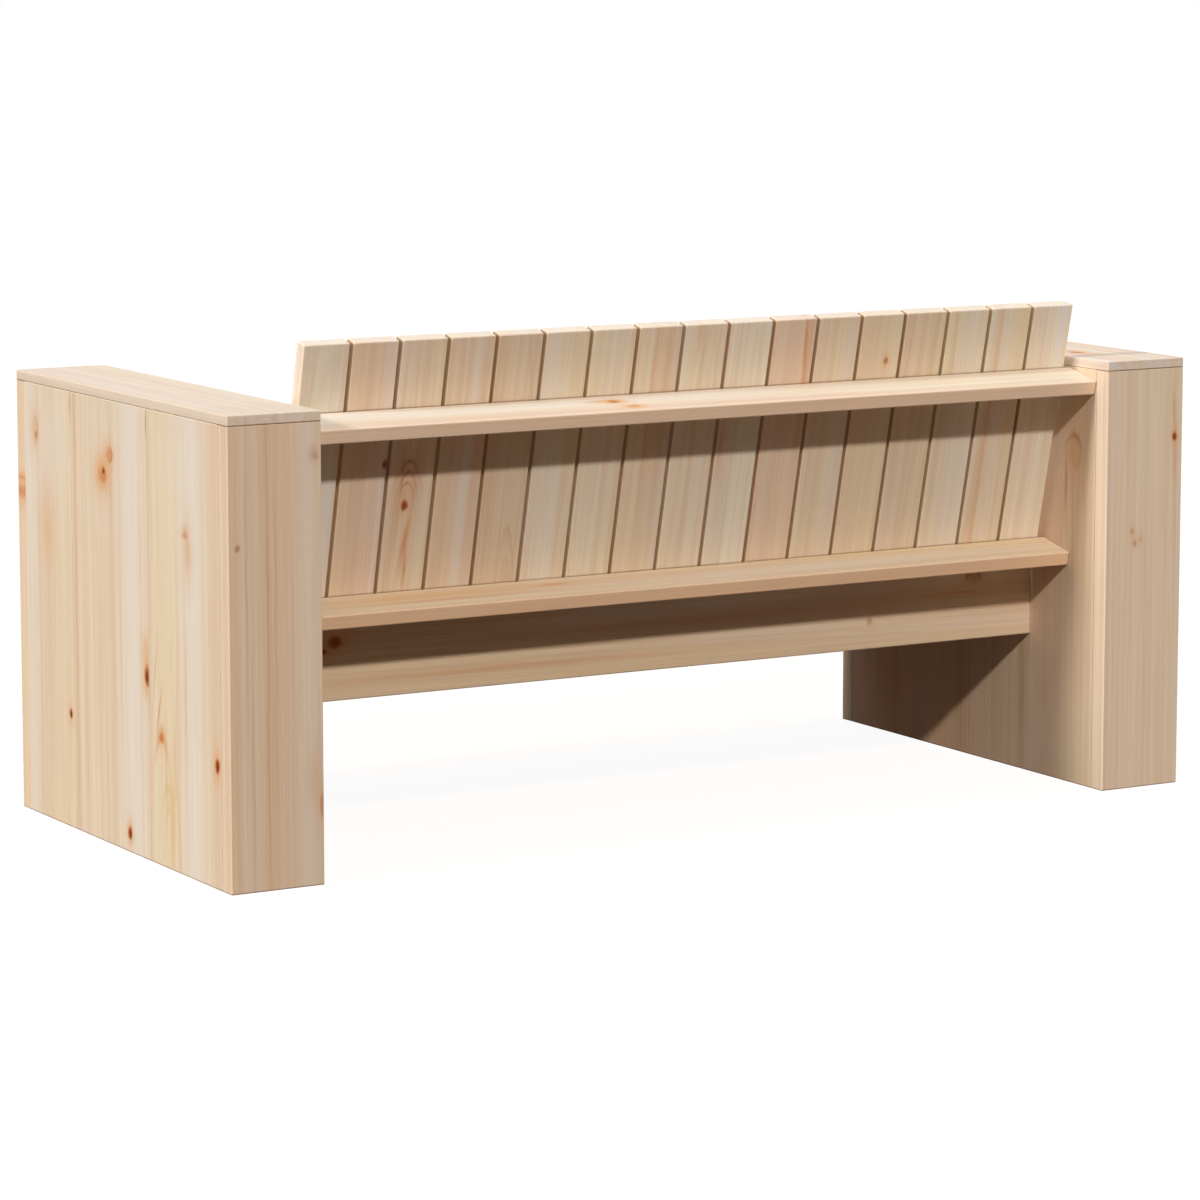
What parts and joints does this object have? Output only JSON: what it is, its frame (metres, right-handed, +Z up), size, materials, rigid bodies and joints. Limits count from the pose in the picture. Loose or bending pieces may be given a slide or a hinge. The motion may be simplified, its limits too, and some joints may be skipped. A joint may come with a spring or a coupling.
{
  "type": "slatted bench",
  "caption": "Low raw-pine bench with a leaning slatted back, a slatted seat and hollow box arms at both ends.",
  "frame": {"origin": "on the floor, under the middle of the bench's overall box", "axes": "+X towards the sitter's left arm along the width, +Y from the front to the rear, +Z up"},
  "size_m": [1.34, 0.6, 0.6196],
  "materials": {
    "pine_slats": "raw planed pine, matt, lengthwise grain with a few knots",
    "pine_rails": "raw planed pine, matt",
    "pine_boards": "raw planed pine, matt, upright grain with knots and resin lines",
    "pine_battens": "raw sawn pine, matt",
    "wooden_dowels": "fluteless turned beech",
    "steel_screws": "zinc-plated, satin"
  },
  "bodies": {
    "root": {"back_slat_01": "pine_slats", "back_slat_02": "pine_slats", "back_slat_03": "pine_slats", "back_slat_04": "pine_slats", "back_slat_05": "pine_slats", "back_slat_06": "pine_slats", "back_slat_07": "pine_slats", "back_slat_08": "pine_slats", "back_slat_09": "pine_slats", "back_slat_10": "pine_slats", "back_slat_11": "pine_slats", "back_slat_12": "pine_slats", "back_slat_13": "pine_slats", "back_slat_14": "pine_slats", "back_slat_15": "pine_slats", "back_slat_16": "pine_slats", "back_slat_17": "pine_slats", "seat_slat_01": "pine_slats", "seat_slat_02": "pine_slats", "seat_slat_03": "pine_slats", "seat_slat_04": "pine_slats", "seat_slat_05": "pine_slats", "seat_slat_06": "pine_slats", "seat_slat_07": "pine_slats", "seat_slat_08": "pine_slats", "seat_slat_09": "pine_slats", "seat_slat_10": "pine_slats", "seat_slat_11": "pine_slats", "seat_slat_12": "pine_slats", "seat_slat_13": "pine_slats", "seat_slat_14": "pine_slats", "seat_slat_15": "pine_slats", "seat_slat_16": "pine_slats", "seat_slat_17": "pine_slats", "upper_back_rail": "pine_rails", "lower_back_rail": "pine_rails", "front_apron": "pine_rails", "rear_apron": "pine_rails", "left_seat_cleat": "pine_rails", "right_seat_cleat": "pine_rails", "left_arm_cover": "pine_boards", "left_arm_front_board": "pine_boards", "left_arm_rear_board": "pine_boards", "left_arm_outer_front_plank": "pine_boards", "left_arm_outer_middle_plank": "pine_boards", "left_arm_outer_rear_plank": "pine_boards", "left_arm_inner_panel": "pine_boards", "right_arm_cover": "pine_boards", "right_arm_front_board": "pine_boards", "right_arm_rear_board": "pine_boards", "right_arm_outer_front_plank": "pine_boards", "right_arm_outer_middle_plank": "pine_boards", "right_arm_outer_rear_plank": "pine_boards", "right_arm_inner_panel": "pine_boards", "arm_corner_battens": "pine_battens", "cover_dowels": "wooden_dowels", "batten_screws": "steel_screws", "frame_screws": "steel_screws", "back_slat_screws": "steel_screws", "seat_slat_screws": "steel_screws"}
  },
  "joints": []
}
